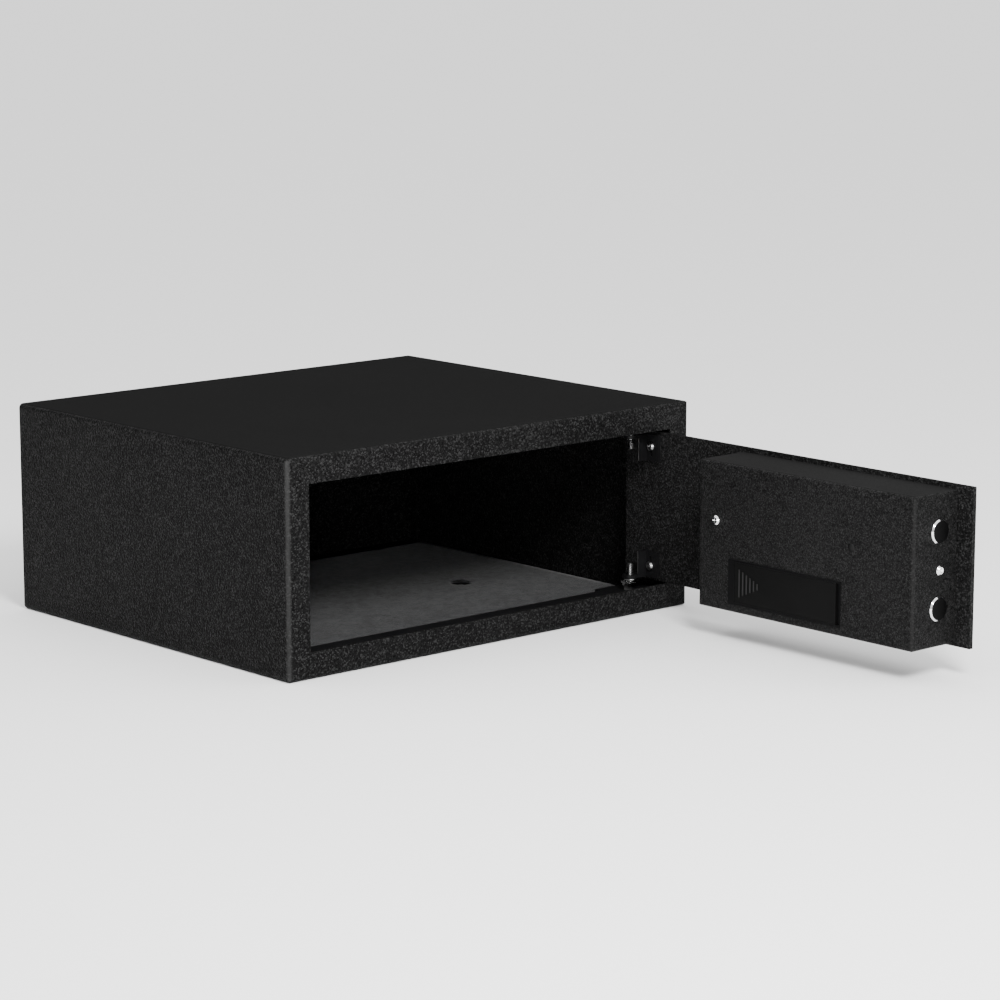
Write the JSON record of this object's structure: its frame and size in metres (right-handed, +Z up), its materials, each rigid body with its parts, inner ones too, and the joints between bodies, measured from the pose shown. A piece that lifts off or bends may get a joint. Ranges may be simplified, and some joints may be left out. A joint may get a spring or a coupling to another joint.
{
  "type": "in room safe",
  "caption": "Low steel cabinet with a border round its opening, a door on a hidden side hinge, two round bolts in a lock cover, a battery bay and a keypad.",
  "frame": {"origin": "centre of the cabinet's underside, midway between the two floor anchor holes", "axes": "+X to the right when facing the opening, +Y from the opening to the back panel, +Z up"},
  "size_m": [0.44, 0.716, 0.18],
  "materials": {
    "textured_paint": "black textured powder coat",
    "smooth_paint": "black satin paint",
    "chrome": "polished plating",
    "zinc_steel": "zinc-plated steel",
    "felt": "grey needle felt",
    "brass": "machined brass",
    "black_plastic": "matt black moulding",
    "cell_wrap": "plain cell sleeve",
    "board": "solder-masked board",
    "black_component": "moulded components",
    "button_plastic": "black stem",
    "window": "smoked window",
    "lamp_lens": "tinted lens",
    "key_cap": "grey key caps"
  },
  "bodies": {
    "cabinet": {"body_shell": "textured_paint", "front_frame": "textured_paint", "back_panel": "textured_paint", "lower_flange": "smooth_paint", "upper_flange": "smooth_paint", "strike_flange": "smooth_paint", "lower_hinge_tab": "smooth_paint", "upper_hinge_tab": "smooth_paint", "lower_pin": "chrome", "upper_pin": "chrome", "pin_nuts": "chrome", "bearing_washer": "chrome", "floor_mat": "felt"},
    "door": {"door_plate": "textured_paint", "lower_bracket": "smooth_paint", "upper_bracket": "smooth_paint", "bracket_screws": "chrome", "lock_cover": "textured_paint", "bolt_guide": "zinc_steel", "cover_post": "zinc_steel", "cover_screws": "chrome", "guide_pins": "zinc_steel", "motor": "zinc_steel", "motor_bracket": "zinc_steel", "motor_screws": "zinc_steel", "battery_tray": "black_plastic", "battery_contacts": "zinc_steel", "batteries": "cell_wrap", "circuit_board": "board", "board_parts": "black_component", "board_standoffs": "brass", "board_screws": "zinc_steel", "keypad_housing": "black_plastic", "keypad_board": "board", "display_window": "window", "status_lights": "lamp_lens", "override_barrel": "chrome", "override_nut": "zinc_steel"},
    "bolt_carriage": {"carriage": "zinc_steel", "upper_bolt": "chrome", "lower_bolt": "chrome", "bolt_screws": "zinc_steel"},
    "drive": {"pinion": "brass", "pinion_shaft": "zinc_steel"},
    "lid": {"battery_lid": "black_plastic"},
    "reset": {"reset_button": "button_plastic"},
    "override": {"override_plug": "brass"},
    "key_1": {"key_1": "key_cap"},
    "key_2": {"key_2": "key_cap"},
    "key_3": {"key_3": "key_cap"},
    "key_4": {"key_4": "key_cap"},
    "key_5": {"key_5": "key_cap"},
    "key_6": {"key_6": "key_cap"},
    "key_7": {"key_7": "key_cap"},
    "key_8": {"key_8": "key_cap"},
    "key_9": {"key_9": "key_cap"},
    "key_star": {"key_star": "key_cap"},
    "key_0": {"key_0": "key_cap"},
    "key_hash": {"key_hash": "key_cap"}
  },
  "joints": [
    {"name": "door_hinge", "type": "hinge", "parent": "cabinet", "child": "door", "pos_m": [0.172, -0.1635, 0.09], "axis": [0, 0, 1], "range_deg": [-90, 0]},
    {"name": "bolt_slide", "type": "slide", "parent": "door", "child": "bolt_carriage", "axis": [0, -1, 0], "range_m": [0, 0.028]},
    {"name": "pinion_spin", "type": "hinge", "parent": "door", "child": "drive", "pos_m": [0.185, -0.367, 0.0945], "axis": [-1, 0, 0], "range_deg": [0, 155]},
    {"name": "battery_lid_slide", "type": "slide", "parent": "door", "child": "lid", "axis": [0, -1, 0], "range_m": [0, 0.004]},
    {"name": "reset_press", "type": "slide", "parent": "door", "child": "reset", "axis": [1, 0, 0], "range_m": [0, 0.0005], "stiffness_N_per_m": 800},
    {"name": "override_turn", "type": "hinge", "parent": "door", "child": "override", "pos_m": [0.182, -0.321, 0.122], "axis": [-1, 0, 0], "range_deg": [0, 90]},
    {"name": "key_1_press", "type": "slide", "parent": "door", "child": "key_1", "axis": [-1, 0, 0], "range_m": [0, 0.001], "stiffness_N_per_m": 600},
    {"name": "key_2_press", "type": "slide", "parent": "door", "child": "key_2", "axis": [-1, 0, 0], "range_m": [0, 0.001], "stiffness_N_per_m": 600},
    {"name": "key_3_press", "type": "slide", "parent": "door", "child": "key_3", "axis": [-1, 0, 0], "range_m": [0, 0.001], "stiffness_N_per_m": 600},
    {"name": "key_4_press", "type": "slide", "parent": "door", "child": "key_4", "axis": [-1, 0, 0], "range_m": [0, 0.001], "stiffness_N_per_m": 600},
    {"name": "key_5_press", "type": "slide", "parent": "door", "child": "key_5", "axis": [-1, 0, 0], "range_m": [0, 0.001], "stiffness_N_per_m": 600},
    {"name": "key_6_press", "type": "slide", "parent": "door", "child": "key_6", "axis": [-1, 0, 0], "range_m": [0, 0.001], "stiffness_N_per_m": 600},
    {"name": "key_7_press", "type": "slide", "parent": "door", "child": "key_7", "axis": [-1, 0, 0], "range_m": [0, 0.001], "stiffness_N_per_m": 600},
    {"name": "key_8_press", "type": "slide", "parent": "door", "child": "key_8", "axis": [-1, 0, 0], "range_m": [0, 0.001], "stiffness_N_per_m": 600},
    {"name": "key_9_press", "type": "slide", "parent": "door", "child": "key_9", "axis": [-1, 0, 0], "range_m": [0, 0.001], "stiffness_N_per_m": 600},
    {"name": "key_star_press", "type": "slide", "parent": "door", "child": "key_star", "axis": [-1, 0, 0], "range_m": [0, 0.001], "stiffness_N_per_m": 600},
    {"name": "key_0_press", "type": "slide", "parent": "door", "child": "key_0", "axis": [-1, 0, 0], "range_m": [0, 0.001], "stiffness_N_per_m": 600},
    {"name": "key_hash_press", "type": "slide", "parent": "door", "child": "key_hash", "axis": [-1, 0, 0], "range_m": [0, 0.001], "stiffness_N_per_m": 600}
  ],
  "couplings": [
    {"joint": "pinion_spin", "follows": "bolt_slide", "rad_per_m": 95.238}
  ]
}
